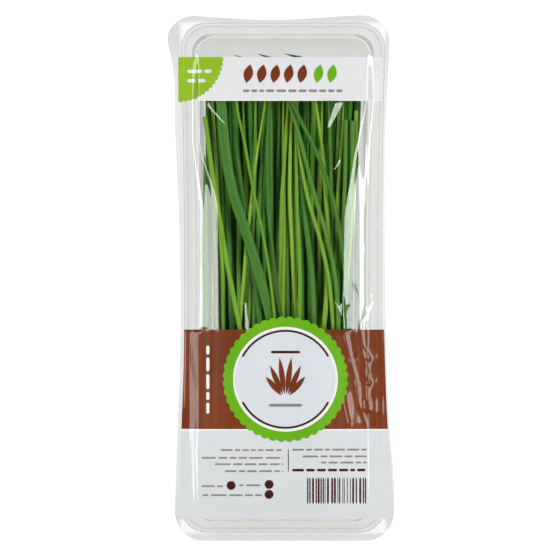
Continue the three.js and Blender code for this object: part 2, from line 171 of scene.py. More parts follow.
def clear_plastic(name, through, face_gloss, haze_and_shade, rough):
    """See-through plastic: it mirrors a little head on and much more at a slant, and it carries a
    grey that is a faint haze on the tray's rim and painted shade elsewhere, more where the attribute
    of that name says so. The gloss is dull where the grey outweighs it."""
    surface = Surface(name)
    place = surface.node("TexCoord", output="Object")
    cloud = surface.noise(place, scale=60, detail=3)
    relief = surface.noise(place, scale=260, detail=2)
    slant = surface.node("LayerWeight", {}, {"Blend": 0.5}, output="Facing")
    mirror = face_gloss + (1 - face_gloss) * slant**5
    # This grey is a faint haze on the tray's rim and painted shade everywhere else it shows.
    grey = surface.attribute("haze_and_shade") * haze_and_shade
    share = mirror + grey * (1 - HAZE_AND_SHADE_UNEVEN / 2 + cloud * HAZE_AND_SHADE_UNEVEN)
    dull = surface.clamp(grey * 4 - mirror * 0.5, low=0, high=0.3)
    color = surface.blend(dull, GLOSS_COLOR, HAZE_AND_SHADE_COLOR)
    clear = surface.node("BsdfTransparent", {}, {"Color": through})
    bump = surface.bump(relief, strength=0.02, distance=0.0002)
    shine = {"Base Color": color, "Metallic": 1 - dull, "Roughness": rough, "Normal": bump}
    gloss = surface.node("BsdfPrincipled", {}, shine)
    return surface.done(surface.node("MixShader", {}, {0: share, 1: clear, 2: gloss}))


def add_piece(name, points, faces, material, slot, replaced, sharp=40):
    """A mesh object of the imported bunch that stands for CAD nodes. points are in millimetres."""
    mesh = bpy.data.meshes.new(name)
    mesh.from_pydata((np.asarray(points) * MM).tolist(), [], faces)
    mesh.materials.append(material)
    mesh.shade_smooth()
    mesh.set_sharp_from_angle(angle=math.radians(sharp))
    piece = bpy.data.objects.new(name, mesh)
    bpy.context.scene.collection.objects.link(piece)
    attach(piece, "root")
    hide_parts(*replaced)
    return piece


def add_layer(piece, name, values, kind="FLOAT", field="value"):
    """A named value for each point of a piece, which its material reads."""
    layer = piece.data.attributes.new(name, kind, "POINT")
    layer.data.foreach_set(field, np.ravel(values))


def grid_faces(rows, columns, start=0, wrap=False, flip=False):
    """The quads of a grid of points that are numbered row by row from start."""
    faces = []
    for row in range(rows - 1):
        for column in range(columns if wrap else columns - 1):
            beside = (column + 1) % columns
            corners = [row * columns + column, row * columns + beside]
            corners += [(row + 1) * columns + beside, (row + 1) * columns + column]
            faces.append([start + corner for corner in (corners[::-1] if flip else corners)])
    return faces


def tube_faces(rings, sides):
    """The quads of a closed tube of rings, and a flat face on each end."""
    last = (rings - 1) * sides
    faces = grid_faces(rings, sides, wrap=True, flip=True)
    faces.append(list(range(sides)))
    faces.append(list(range(last, last + sides))[::-1])
    return faces


def rim_line(inset):
    """The tray's outline, drawn in by inset: a rounded rectangle with slightly waisted sides."""
    half_width = RIM_HALF_WIDTH - inset
    half_length = RIM_HALF_LENGTH - inset
    corner = RIM_CORNER - inset / 2
    points = []
    for quarter, (side, end) in enumerate([(1, 1), (-1, 1), (-1, -1), (1, -1)]):
        turns = (quarter + np.linspace(0, 1, CORNER_STEPS)) * math.pi / 2
        across = side * (half_width - corner) + corner * np.cos(turns)
        along = end * (half_length - corner) + corner * np.sin(turns)
        points.extend(zip(across, along))
        straight = np.linspace(0, 1, SIDE_STEPS)[1:-1]
        if quarter % 2 == 0:
            flat = half_width - corner
            points.extend((side * flat * (1 - 2 * s), end * half_length) for s in straight)
        else:
            flat = half_length - corner
            points.extend((side * half_width, end * flat * (1 - 2 * s)) for s in straight)
    line = np.array(points)
    line[:, 0] *= 1 - RIM_WAIST / half_width * (1 - (line[:, 1] / half_length) ** 2)
    return line


def rounded(corners, radii, steps=4):
    """A bent line through corners, each rounded by its own radius."""
    line = [corners[0]]
    for before, here, after, radius in zip(corners, corners[1:], corners[2:], radii):
        here = np.array(here, float)
        back = np.array(before) - here
        ahead = np.array(after) - here
        back *= min(radius / np.linalg.norm(back), 0.5)
        ahead *= min(radius / np.linalg.norm(ahead), 0.5)
        for share in np.linspace(0, 1, steps + 1):
            line.append(tuple(here + back * (1 - share) ** 2 + ahead * share**2))
    line.append(corners[-1])
    return np.array(line)


def tray_section():
    """The upper and the lower side of the sheet, from the lip to the floor, as rows of how far in
    from the rim's edge and how high."""
    ledge = RIM_TOP - STEP_DEPTH
    corners = [
        (0, RIM_TOP - LIP_DEPTH),
        (0, RIM_TOP),
        (GROOVE_IN - GROOVE_HALF, RIM_TOP),
        (GROOVE_IN, RIM_TOP - GROOVE_DEPTH),
        (GROOVE_IN + GROOVE_HALF, RIM_TOP),
        (SEAL_WIDTH, RIM_TOP),
        (STEP_FOOT, ledge),
        (LEDGE_END, ledge),
        (WALL_FOOT, TRAY_SHEET),
        (FLOOR_IN, TRAY_SHEET),
    ]
    upper = rounded(corners, BEND_RADII)
    slope = np.gradient(upper, axis=0)
    slope /= np.linalg.norm(slope, axis=1)[:, None]
    lower = upper + TRAY_SHEET * np.column_stack([slope[:, 1], -slope[:, 0]])
    lower[0] = upper[0] + [TRAY_SHEET, 0]
    lower[-1] = upper[-1] - [0, TRAY_SHEET]
    return upper, lower


def sheet_bend(section):
    """How sharply the sheet bends at each row of its section, in radians a millimetre."""
    along = np.diff(section, axis=0)
    heading = np.unwrap(np.arctan2(along[:, 1], along[:, 0]))
    bend = np.abs(np.diff(heading, prepend=heading[0], append=heading[-1]))
    length = np.linalg.norm(along, axis=1)
    stretch = np.minimum(np.append(length, 1), np.insert(length, 0, 1))
    return bend / np.maximum(stretch, SHORTEST_STRETCH)


def tray_haze_and_shade(section, inset):
    """The grey of each point: a faint haze on the rim, painted shade on the walls and the floor, and
    the most painted shade in the bends, darkest where the step turns its corners."""
    wall_start, wall_end = WALL_RINGS
    flat = np.select([inset > wall_end, inset > wall_start], [FLOOR_SHADE, WALL_SHADE], RIM_HAZE)
    bends = BEND_SHADE * np.clip(sheet_bend(section) / SHARP_BEND, 0, 1) ** 2
    past = (np.abs(rim_line(0)) - CORNER_START) / CORNER_FADE
    on_step = CORNER_SHADE * ((inset > STEP_RINGS[0]) & (inset < STEP_RINGS[1]))
    corner = 1 + np.outer(on_step, np.clip(past, 0, 1).prod(axis=1))
    return flat[:, None] + bends[:, None] * corner


def make_tray():
    upper, lower = tray_section()
    section = np.vstack([upper[::-1], lower])
    loops = np.array([np.insert(rim_line(inset), 2, height, axis=1) for inset, height in section])
    faces = tube_faces(*loops.shape[:2])
    plastic = clear_plastic("tray_plastic", TRAY_CLEAR, face_gloss=0.04, haze_and_shade=0.06, rough=0.12)
    points = loops.reshape(-1, 3)
    tray = add_piece("clear_tray", points, faces, plastic, "tray_plastic", ["tray"], sharp=60)
    inset = np.concatenate([upper[::-1, 0], upper[:, 0]])
    add_layer(tray, "haze_and_shade", tray_haze_and_shade(section, inset))


make_tray()


# Leaves. Chives have hollow leaves with an oval section, a fine lengthwise grain and a waxy bloom.
# They were cut to one length and laid in the tray in a bundle. Each has a cut base, and its other
# end is a point or a second cut.

WIDE_LEAF = 2.5
WIDE_LEAF_TONE = 0.2
LEAF_SIDES = 14
LEAF_RINGS = 52
LEAF_FLATNESS = 0.7
POINTED_HALF = 0.5
TIP_HALF = 0.12
TIP_CROWDING = 1.25
WANDERS = [(0.12, 17, 31), (0.08, 7, 32)]
GROOVE_CUT = 0.26
GROOVE_SPREAD = 1.1
GROOVE_TWIST = 1.4
GROOVE_WIDTH = 0.45
PALE_LENGTH = 9
PALE_SHARE = 0.6
GRAIN_LENGTH = 60
HOLLOW_SHARE = 0.66
HOLLOW_DEPTH = 2.5
CUT_GREEN = (0.42, 0.52, 0.22, 1)
CUT_PALENESS = [0.35, 0.8]
CURL_GAP = 2
SINGLE_SEED = 40
# The deep_leaf greens of the lower rows are darker than the others as painted shade for lying under
# them.
LEAF_TONES = {
    "deep_leaf": [(0.01, 0.12, 0.003, 1), (0.06, 0.27, 0.016, 1), (0.1, 0.33, 0.055, 1)],
    "leaf": [(0.05, 0.2, 0.016, 1), (0.16, 0.4, 0.038, 1), (0.24, 0.48, 0.11, 1)],
    "bright_leaf": [(0.15, 0.38, 0.02, 1), (0.36, 0.62, 0.045, 1), (0.42, 0.66, 0.13, 1)],
}
TIP_CURLS = {
    "leaf_09": [(107.6, -5.4, 1.8), (108.9, -8.6, 2), (110.2, -12.9, 0.4)],
    "leaf_12": [(107.6, 10.6, 2), (108.9, 6.2, 2.6), (110.4, 0.2, 0.4)],
    "leaf_46": [(107.8, -19.6, 1.6), (108.7, -21.8, 1.6), (109.4, -24.8, 0.4)],
}


def draw(index, kind):
    """A repeatable draw from 0 to 1 for leaf number index and quantity number kind."""
    wave = math.sin(index * 12.9898 + kind * 78.233) * 43758.5453
    return wave - math.floor(wave)


def leaf_skin(name, dark, bright, wax):
    """Leaf green between two tones, with lengthwise grain, a pale cut base and a thin wax bloom."""
    surface = Surface(name)
    grain_place = surface.attribute("grain", "Vector")
    place = surface.node("TexCoord", output="Object")
    grain = surface.noise(grain_place, scale=3.2, detail=3)
    fine_grain = surface.noise(grain_place, scale=9, detail=2)
    patches = surface.noise(place, scale=95, detail=3)
    mottle = surface.attribute("tone") * 0.8 + grain * 0.75 + patches * 0.35 - 0.45
    green = surface.blend(surface.clamp(mottle, low=0, high=1), dark, bright)
    bloom = surface.clamp(fine_grain, low=0.56, high=0.72) * 0.35
    streaked = surface.blend(bloom, green, wax)
    skin = {"Base Color": surface.blend(surface.attribute("pale"), streaked, CUT_GREEN)}
    skin["Roughness"] = 0.34 + patches * 0.22
    skin["Specular IOR Level"] = 0.2
    relief = grain * 0.5 + fine_grain * 0.5
    skin["Normal"] = surface.bump(relief, strength=0.5, distance=0.00012)
    return surface.done(surface.node("BsdfPrincipled", {}, skin))


LEAF_SKINS = {name: leaf_skin(name, *tones) for name, tones in LEAF_TONES.items()}


def smooth_line(places, values, fine):
    """values at places, followed at fine by a curve that passes through them all."""
    places = np.asarray(places, float)
    values = np.asarray(values, float)
    slopes = np.gradient(values, places)
    i = np.clip(np.searchsorted(places, fine) - 1, 0, len(places) - 2)
    span = places[i + 1] - places[i]
    t = (fine - places[i]) / span
    start = (1 + 2 * t) * (1 - t) ** 2 * values[i] + t * (1 - t) ** 2 * span * slopes[i]
    end = t * t * (3 - 2 * t) * values[i + 1] - t * t * (1 - t) * span * slopes[i + 1]
    return start + end


def cut_end(ring, inwards):
    """The wall of a hollow leaf at a cut and the bottom of the hollow behind it."""
    centre = ring.mean(axis=0)
    wall = centre + (ring - centre) * HOLLOW_SHARE
    return [wall, wall + [0, HOLLOW_DEPTH * inwards, 0]]


def grooved(turns, share, seed):
    """The section's reach at each turn: one shallow groove, which twists along the leaf."""
    middle = math.pi / 2 + GROOVE_SPREAD * (draw(seed, 34) - 0.5)
    middle = middle + GROOVE_TWIST * (draw(seed, 35) - 0.5) * share
    apart = (turns[None, :] - middle[:, None] + math.pi) % (2 * math.pi) - math.pi
    return 1 - GROOVE_CUT * draw(seed, 33) * np.exp(-((apart / GROOVE_WIDTH) ** 2))


def leaf_mesh(course, seed, tone):
    """Points, faces and surface data of one leaf. Each row of course gives a place along the tray,
    the leaf's middle across and up, and its half width and half height there."""
    course = np.array(course)
    places = course[:, 0]
    pointed = course[-1, 3] < POINTED_HALF
    share = np.linspace(0, 1, LEAF_RINGS)
    if pointed:
        share = 1 - (1 - share) ** TIP_CROWDING
    along = places[0] + (places[-1] - places[0]) * share
    middle, height, half_width, half_height = (
        smooth_line(places, course[:, k], along) for k in range(1, 5)
    )
    if pointed:
        half_width[-1] = TIP_HALF
        half_height[-1] = TIP_HALF
    for size, run, kind in WANDERS:
        middle = middle + size * np.sin(along / run + 40 * draw(seed, kind))
    turns = np.linspace(0, 2 * math.pi, LEAF_SIDES, endpoint=False)
    reach = grooved(turns, share, seed)
    rings = np.empty((LEAF_RINGS, LEAF_SIDES, 3))
    rings[:, :, 0] = middle[:, None] + half_width[:, None] * np.cos(turns) * reach
    rings[:, :, 1] = along[:, None]
    rings[:, :, 2] = height[:, None] + half_height[:, None] * np.sin(turns) * reach
    pale = np.clip(1 - (along - places[0]) / PALE_LENGTH, 0, 1) ** 2 * PALE_SHARE
    loops = [*cut_end(rings[0], 1)[::-1], *rings]
    paleness = [*CUT_PALENESS, *pale]
    if not pointed:
        loops.extend(cut_end(rings[-1], -1))
        paleness += CUT_PALENESS[::-1]
    loops = np.array(loops)
    grain = np.empty_like(loops)
    grain[:, :, 0] = np.cos(turns)
    grain[:, :, 1] = loops[:, :, 1] / GRAIN_LENGTH + 50 * draw(seed, 36)
    grain[:, :, 2] = np.sin(turns)
    return {
        "points": loops.reshape(-1, 3),
        "faces": tube_faces(len(loops), LEAF_SIDES),
        "grain": grain.reshape(-1, 3),
        "tone": np.full(len(loops) * LEAF_SIDES, tone),
        "pale": np.repeat(paleness, LEAF_SIDES),
    }


def join_meshes(meshes):
    """Several pairs of points and faces as one pair."""
    faces = []
    start = 0
    for points, own_faces in meshes:
        faces += [[start + i for i in face] for face in own_faces]
        start += len(points)
    return np.vstack([points for points, own_faces in meshes]), faces


def add_leaves(name, leaves, slot, replaced):
    """One object of leaves, each as leaf_mesh gives it."""
    points, faces = join_meshes([(leaf["points"], leaf["faces"]) for leaf in leaves])
    piece = add_piece(name, points, faces, LEAF_SKINS[slot], slot, replaced, sharp=50)
    grain = np.vstack([leaf["grain"] for leaf in leaves])
    add_layer(piece, "grain", grain, "FLOAT_VECTOR", "vector")
    for key in ("tone", "pale"):
        add_layer(piece, key, np.concatenate([leaf[key] for leaf in leaves]))


def course_of(node):
    """The course of a single leaf, from the six-sided sections of its CAD node."""
    sections = {}
    for vertex in frame["nodes"][node].data.vertices:
        sections.setdefault(round(vertex.co.y, 5), []).append(vertex.co / MM)
    course = []
    for place in sorted(sections):
        across = [corner.x for corner in sections[place]]
        up = [corner.z for corner in sections[place]]
        half_width = (max(across) - min(across)) / 2
        half_height = (max(up) - min(up)) / 2 / math.sin(math.pi / 3)
        middle = min(across) + half_width
        course.append([place / MM, middle, (max(up) + min(up)) / 2, half_width, half_height])
    return course


def curled(course, curl):
    """A course whose far end turns aside along the rows of curl: along, across and half width."""
    height = course[-1][2]
    kept = [place for place in course if place[0] < curl[0][0] - CURL_GAP]
    return kept + [
        [along, across, height, half, half * LEAF_FLATNESS] for along, across, half in curl
    ]


def make_single_leaves():
    slots = {part["node"]: part["material_slot"] for part in frame["record"]["subparts"]}
    singles = sorted(node for node in frame["nodes"] if node.startswith("leaf_"))
    for number, node in enumerate(singles):
        course = course_of(node)
        wide = max(place[3] for place in course) >= WIDE_LEAF
        if node in TIP_CURLS:
            course = curled(course, TIP_CURLS[node])
        tone = WIDE_LEAF_TONE if wide else draw(number, 37)
        leaf = leaf_mesh(course, SINGLE_SEED + number, tone)
        add_leaves("chive_" + node, [leaf], slots[node], [node])


# Lower leaves. Two rows of cut leaves lie side by side under the others, pressed together at their
# cut ends, and show only in the gaps above them; their darker green is painted shade. Three more lean
# against the tray's walls and show through the film beside the bundle.

BUNCH_PLACES = [-130, -25, 40, 86, 130]
BUNCH_HALVES = [35.5, 35.5, 36.5, 40, 41]
COURSE_PLACES = 12
LOWER_ROW = 20
LOWER_SPREAD = 0.94
LOWER_HALF = 1.72
LOWER_GROWTH = 0.1
LOWER_REST = 2.35
ROW_RISE = 2.75
ROW_SHIFTS = (0.25, 0.75)
LEAF_END = 110
UNEVEN_START = 3
UNEVEN_END = (2, 14)
POINTED_SHARE = 0.12
TIP_SHARE = 0.35
LEAST_HALF = 0.35
WALL_LEAVES = [(-36.3, 8.6, 108), (-38, 13.4, 60), (36.3, 8.6, 62)]
WALL_LEAF_HALF = 1.5
WALL_LEAF_START = -105
WALL_LEAF_STAGGER = 2
WALL_LEAF_TONE = 0.4
WALL_LEAF_BOW = 0.06
WALL_LEAF_SEED = 300


def point_taper(gone):
    """How much of a leaf's width is left after a share of its length."""
    return 1 - (1 - min((1 - gone) / TIP_SHARE, 1)) ** 2


def lower_leaf(row, place, seed):
    """One leaf of a lower row. place is its place across, from -1 to 1."""
    start = -LEAF_END + UNEVEN_START * draw(seed, 1)
    end = LEAF_END - UNEVEN_END[0] - UNEVEN_END[1] * draw(seed, 2)
    pointed = draw(seed, 3) < POINTED_SHARE
    course = []
    for along in np.linspace(start, end, COURSE_PLACES):
        gone = (along - start) / (end - start)
        taper = point_taper(gone) if pointed else 1
        half = max((LOWER_HALF + LOWER_GROWTH * gone) * taper, LEAST_HALF)
        across = place * np.interp(along, BUNCH_PLACES, BUNCH_HALVES)
        course.append([along, across, LOWER_REST + row * ROW_RISE, half, half * LEAF_FLATNESS])
    return leaf_mesh(course, seed, draw(seed, 37))


def make_lower_leaves():
    for row, node in enumerate(["lower_leaves", "upper_lower_leaves"]):
        leaves = []
        for i in range(LOWER_ROW):
            place = ((i + ROW_SHIFTS[row]) / LOWER_ROW - 0.5) * 2 * LOWER_SPREAD
            leaves.append(lower_leaf(row, place, 100 * (row + 1) + i))
        add_leaves("chive_" + node, leaves, "deep_leaf", [node])


def make_wall_leaves():
    leaves = []
    for number, (across, height, end) in enumerate(WALL_LEAVES):
        seed = WALL_LEAF_SEED + number
        start = WALL_LEAF_START + WALL_LEAF_STAGGER * number
        course = []
        for gone in np.linspace(0, 1, COURSE_PLACES):
            along = start + gone * (end - start)
            half = max(WALL_LEAF_HALF * point_taper(gone), LEAST_HALF)
            out = across * (1 + WALL_LEAF_BOW * (along / RIM_HALF_LENGTH) ** 2)
            course.append([along, out, height, half, half * LEAF_FLATNESS])
        leaves.append(leaf_mesh(course, seed, WALL_LEAF_TONE * draw(seed, 37)))
    add_leaves("chive_wall_leaves", leaves, "leaf", [])


make_lower_leaves()
make_wall_leaves()
make_single_leaves()


# Lid film. A clear film sealed on the rim and standing out past it, with a loose corner to pull.
# The leaves hold it up. It falls from a fold on each side to the rim, and over the brown band
# it is drawn into puckers on the right.

FILM_SHEET = 0.12
FILM_LIFT = 0.1
FILM_HALF_LENGTH = 129
FILM_CORNER = 14
LEFT_EDGE_PLACES = [-130, -110, -75, -37, 27, 75, 101, 108, 114, 120, 130]
LEFT_EDGE = [53, 52.8, 51.6, 50.3, 50.9, 53, 53.6, 54.8, 56.2, 57, 57]
RIGHT_EDGE_PLACES = [-130, -112, -100, -73, -32, 0, 75, 109, 130]
RIGHT_EDGE = [54.4, 54.4, 54.2, 52.1, 50.5, 50.1, 50.3, 51.9, 52.4]
TOP_HOLLOW = 2.8
TOP_HOLLOW_MIDDLE = -6
TOP_HOLLOW_HALF = 34
TOP_HOLLOW_START = 108
TOP_HOLLOW_RUN = 20
FILM_CROWN = 3.2
CROWN_PLACES = [-130, -119, -100, -60, 60, 86, 104, 112, 130]
CROWN_SHARES = [0, 0, 0.7, 1, 1, 0.88, 0.36, 0, 0]
LEFT_PLACES = [-130, -27, -24.3, 35, 43, 58, 66, 108, 130]
LEFT_FOLD = [26, 26, 31.6, 32.3, 33.8, 39.4, 41.2, 41.2, 41]
LEFT_BEND = [41.7, 41.7, 36.2, 36.6, 37.6, 41.2, 42.4, 42.4, 42.4]
LEFT_BEND_SHARE = [0.4, 0.4, 0.5, 0.5, 0.5, 0.5, 0.5, 0.5, 0.5]
LEFT_FOOT = [45.7, 45.7, 40.5, 40.3, 41.2, 43, 43.9, 43.9, 44.2]
LEFT_LINES = (LEFT_FOLD, LEFT_BEND, LEFT_BEND_SHARE, LEFT_FOOT)
RIGHT_PLACES = [-130, -29, -25, -16, 30, 60, 87, 130]
RIGHT_FOLD = [14, 14, 28.6, 29, 30, 35.4, 41.4, 41.4]
RIGHT_FOOT = [45.6, 45.6, 40.4, 39.8, 39.8, 42, 44, 44.2]
SOFT_FOLD = 0.15
INSIDE_HALF = 43.5
INSIDE_SIDE_FADE = 6
INSIDE_END = 118
INSIDE_END_FADE = 12
RIPPLES = [(0.035, 4.3, 41, 0), (0.02, 2.4, -53, 1), (0.08, 17, 11, 0)]
SLOPE_WAVE = 0.028
STREAK_TOP = -26
STREAK_TOP_FADE = 6
STREAK_BAND = (40.5, 46.5)
STREAK_FADE = 1.5
STREAK_HEIGHT = 0.055
STREAK_CHANGE = 0.02
CREASE_STEEPNESS = 0.42
CREASES = [
    [
        (29.2, -9, 0.7),
        (29.4, -15, 1.1),
        (30, -26, 1.0),
        (33, -39, 0.9),
        (36.2, -52, 0.9),
        (37.4, -62, 0.9),
        (41, -72.5, 0.6),
    ],
    [
        (43.2, -12, 0.9),
        (40.4, -18, 1.1),
        (38, -24, 0.9),
        (39.2, -33, 0.8),
        (42, -39.5, 0.9),
        (41.4, -46, 0.7),
    ],
    [(41.4, -46, 0.7), (42.3, -51.5, 0.9), (41.4, -57, 0.8), (42.4, -64, 0.7)],
    [(33.2, -40.5, 0.7), (37, -38.6, 0.8), (42.3, -39.7, 0.8)],
    [(36, -51.5, 0.7), (39, -50.4, 0.8), (42.3, -51.5, 0.8)],
    [(29.4, -14.5, 0.9), (35, -10.5, 1.0), (42.6, -9, 0.9)],
    [(34.5, -0.5, 0.3), (35.2, -6, 0.5), (38.6, -12.6, 0.4)],
    [(35.8, 16, 0.3), (38, 14.5, 0.5), (40.2, 13.3, 0.3)],
    [(27.7, 114, 0.6), (30, 116.5, 0.8), (32.8, 117.8, 0.6)],
    [(-47.4, -27, 0.45), (-47.5, -45, 0.5), (-48, -64, 0.4)],
]
FACET_STEEPNESS = 0.27
FACET_FALL = 4
FACET_END = 3
FACETS = [
    [(21.8, 72.6, 1.6), (27.8, 86.2, 5.4)],
    [(23, 50.2, 1.1), (28.2, 57, 1.8)],
    [(-37, 84.6, 2), (-27, 73.6, 1.2)],
    [(-18.5, -11, 1), (-17.4, -26, 2.4)],
    [(23.6, -9.2, 1), (28.6, -16.8, 1.4)],
    [(39, -36.2, 1.4), (41.2, -41, 2.2)],
    [(38.2, -48.6, 1.4), (41, -53.4, 2.2)],
    [(39.4, -59.4, 2.4), (39.7, -66, 2.8)],
    [(28.7, -56.8, 1.2), (32.3, -72.6, 1.8)],
]
FACET_TOP = 88.5
FACET_TOP_FADE = 4
EDGE_RIDGES = [(-43.9, 0.1, 0.7), (-47, 0.12, 0.7), (41.3, 0.13, 0.6), (45.4, 0.08, 0.6)]
EDGE_RIDGES += [(48.6, 0.14, 0.6)]
RIDGE_END = 116
RIDGE_FADE = 10
FLANGE_START = 48.5
FLANGE_WIDTH = 4
FLUTTER = 0.06
FILM_CLEAR = (0.96, 0.961, 0.958, 1)
# Painted shade: grey on the film past the rim, darkest at the tray's ends.
FLANGE_SHADE = 1.8
END_FLANGE_SHADE = 3.2
END_SHADE_START = 98
END_SHADE_RUN = 20
SHADE_EDGE = 1.5


def soft_step(value):
    value = np.clip(value, 0, 1)
    return value * value * (3 - 2 * value)


def rounded_rise(value, blend):
    """value where it is above 0, and 0 elsewhere, with the bend rounded over a length of blend."""
    bend = (value + blend) ** 2 / (4 * blend)
    return np.where(value < -blend, 0, np.where(value < blend, bend, value))


def soft_ramp(value, blend):
    """value held between 0 and 1, with both its bends rounded."""
    return 1 - rounded_rise(1 - rounded_rise(value, blend), blend)


def side_slope(x, y):
    """How much of the crown is left at a place: all of it inside the folds, none at their feet."""
    out = np.abs(x)
    fold, bend, share, foot = (np.interp(y, LEFT_PLACES, line) for line in LEFT_LINES)
    upper = 1 - (1 - share) * (out - fold) / (bend - fold)
    lower = share * (foot - out) / (foot - bend)
    left = np.where(out < bend, upper, lower)
    fold, foot = (np.interp(y, RIGHT_PLACES, line) for line in (RIGHT_FOLD, RIGHT_FOOT))
    return soft_ramp(np.where(x < 0, left, (foot - out) / (foot - fold)), SOFT_FOLD)


def ripple_height(x, y, slope):
    """The gentle unevenness of the film over the leaves and on its slopes."""
    out = np.abs(x)
    inside = soft_step((INSIDE_HALF - out) / INSIDE_SIDE_FADE)
    inside = inside * soft_step((INSIDE_END - np.abs(y)) / INSIDE_END_FADE)
    ripple = sum(
        high * np.sin(x / across + y / along + start) for high, across, along, start in RIPPLES
    )
    waves = SLOPE_WAVE * slope * (1 - slope) * 4 * np.sin(out * 1.3 + y / 31)
    return inside * (ripple + waves)


def streak_height(x, y):
    """The narrow lengthwise pleats at the left foot, from the brown band down."""
    out = np.abs(x)
    start, end = STREAK_BAND
    share = soft_step((STREAK_TOP - y) / STREAK_TOP_FADE)
    share = share * soft_step((end - out) / STREAK_FADE) * soft_step((out - start) / STREAK_FADE)
    height = STREAK_HEIGHT + STREAK_CHANGE * np.sin(y / 4.1 + x)
    return np.where(x < 0, share * height * np.sin(x * 3.3 + 1.2 * np.sin(y / 8)), 0)


def ridge_height(x, y):
    """The long low ridges over the rim and its step."""
    ridge = sum(high * np.exp(-(((x - at) / wide) ** 2)) for at, high, wide in EDGE_RIDGES)
    ends = soft_step((RIDGE_END - np.abs(y)) / RIDGE_FADE)
    return ridge * (0.7 + 0.3 * np.sin(y / 13 + x)) * ends


def crease_height(x, y):
    """The sharp small ridges of the puckers. A ridge is as steep where it is narrow as where it
    is wide."""
    height = np.zeros_like(x)
    for line in CREASES:
        nearest = np.full_like(x, 99.0)
        width = np.ones_like(x)
        for (x0, y0, width0), (x1, y1, width1) in zip(line, line[1:]):
            run = (x1 - x0) ** 2 + (y1 - y0) ** 2
            share = np.clip(((x - x0) * (x1 - x0) + (y - y0) * (y1 - y0)) / run, 0, 1)
            apart = np.hypot(x - x0 - share * (x1 - x0), y - y0 - share * (y1 - y0))
            width = np.where(apart < nearest, width0 + share * (width1 - width0), width)
            nearest = np.minimum(nearest, apart)
        height = height + CREASE_STEEPNESS * width * np.exp(-((nearest / width) ** 2))
    return height


def facet_height(x, y):
    """The slanting sides of broad soft folds. Each rises on the left of its line and falls off
    slowly beyond."""
    height = np.zeros_like(x)
    for (x0, y0, width0), (x1, y1, width1) in FACETS:
        length = math.hypot(x1 - x0, y1 - y0)
        share = ((x - x0) * (x1 - x0) + (y - y0) * (y1 - y0)) / length**2
        beside = ((x1 - x0) * (y - y0) - (y1 - y0) * (x - x0)) / length
        width = width0 + np.clip(share, 0, 1) * (width1 - width0)
        rise = soft_step(beside / width + 0.5)
        profile = rise - soft_step((beside / width - 0.5) / FACET_FALL)
        start = soft_step(share * length / FACET_END + 0.5)
        ends = start * soft_step((1 - share) * length / FACET_END + 0.5)
        height = height + FACET_STEEPNESS * width * profile * ends
    return height * soft_step((FACET_TOP - y) / FACET_TOP_FADE)


def film_rise(x, y):
    """How far the film stands above the rim."""
    slope = side_slope(x, y)
    rise = FILM_CROWN * np.interp(y, CROWN_PLACES, CROWN_SHARES) * slope
    rise = rise + ripple_height(x, y, slope) + streak_height(x, y) + ridge_height(x, y)
    rise = rise + crease_height(x, y) + facet_height(x, y)
    outside = np.clip(np.abs(x) - FLANGE_START, 0, FLANGE_WIDTH)
    return rise + FLUTTER * outside * np.sin(y / 8 + np.sign(x))


def film_halves(y):
    """How far the film reaches to the left and to the right at y."""
    past = np.clip(np.abs(y) - (FILM_HALF_LENGTH - FILM_CORNER), 0, FILM_CORNER)
    cut = FILM_CORNER - np.sqrt(FILM_CORNER**2 - past**2)
    left = smooth_line(LEFT_EDGE_PLACES, LEFT_EDGE, y)
    right = smooth_line(RIGHT_EDGE_PLACES, RIGHT_EDGE, y)
    return left - cut, right - cut


def closed_sheet(upper, thickness, wrap=False):
    """A thin closed sheet under a grid of points that runs up the tray row by row."""
    rows, columns = upper.shape[:2]
    start = rows * columns
    faces = grid_faces(rows, columns, wrap=wrap)
    faces += grid_faces(rows, columns, start, wrap=wrap, flip=True)
    steps = columns if wrap else columns - 1
    for first in (0, start - columns):
        for i in range(steps):
            here, beside = first + i, first + (i + 1) % columns
            face = [here, here + start, beside + start, beside]
            faces.append(face if first == 0 else face[::-1])
    if not wrap:
        for column in (0, columns - 1):
            for row in range(rows - 1):
                here = row * columns + column
                face = [here, here + columns, here + columns + start, here + start]
                faces.append(face if column == 0 else face[::-1])
    points = np.vstack([upper.reshape(-1, 3), (upper - [0, 0, thickness]).reshape(-1, 3)])
    return points, faces


def on_film(x, y, above):
    """Points that lie above the film's upper side by a distance."""
    return np.stack([x, y, RIM_TOP + FILM_LIFT + FILM_SHEET + film_rise(x, y) + above], axis=-1)


# The film's grid has a row or a column wherever print starts or ends, is finest where the film is
# creased, and has rows close together where its corners turn.

PRINT_SIDE = 0.965
TOP_PRINT_RIGHT = 0.955
LOW_PRINT_RIGHT = 0.985
TOP_PANEL = (86.5, 108)
BROWN_BAND = (-74.2, -25.5)
INFO_PANEL = (-118.5, -74.2)
# The top edge strip is a painted highlight along the top panel's bottom edge.
TOP_EDGE_HIGHLIGHT = (86.5, 87.1)
INFO_EDGE_LINE = (-74.9, -74.2)
ABOVE_BAND = -24.9
CORNER_ROWS = np.array([126, 127.2, 128, 128.5, 128.8, 128.95])
FILM_ROWS = [(-129, -78, 24), (-78, -6, 80), (-6, 44, 24), (44, 90, 50), (90, 129, 22)]
MIDDLE_COLUMNS = 36
SIDE_COLUMNS = 66


